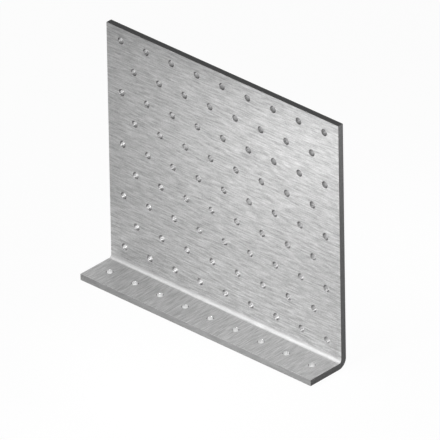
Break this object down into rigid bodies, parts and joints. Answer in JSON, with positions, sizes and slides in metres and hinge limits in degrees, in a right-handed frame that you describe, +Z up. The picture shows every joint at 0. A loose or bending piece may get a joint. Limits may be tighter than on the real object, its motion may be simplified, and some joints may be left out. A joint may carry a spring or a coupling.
{
  "type": "beam splice connector",
  "caption": "Folded steel angle plate with a tall wall and a short flange, both punched with nail holes, for splicing timber beams end to end.",
  "frame": {"origin": "under the middle of the angle's box, on the plane of the flange's underside", "axes": "+X along the beams and the fold, -Y from the wall towards the beams and the flange's front edge, +Z up the wall"},
  "size_m": [0.18, 0.03, 0.16],
  "materials": {
    "bare_steel": "rolled sheet steel with fine drawn lines and darker sheared edges"
  },
  "bodies": {
    "root": {"splice_angle": "bare_steel"}
  },
  "joints": []
}
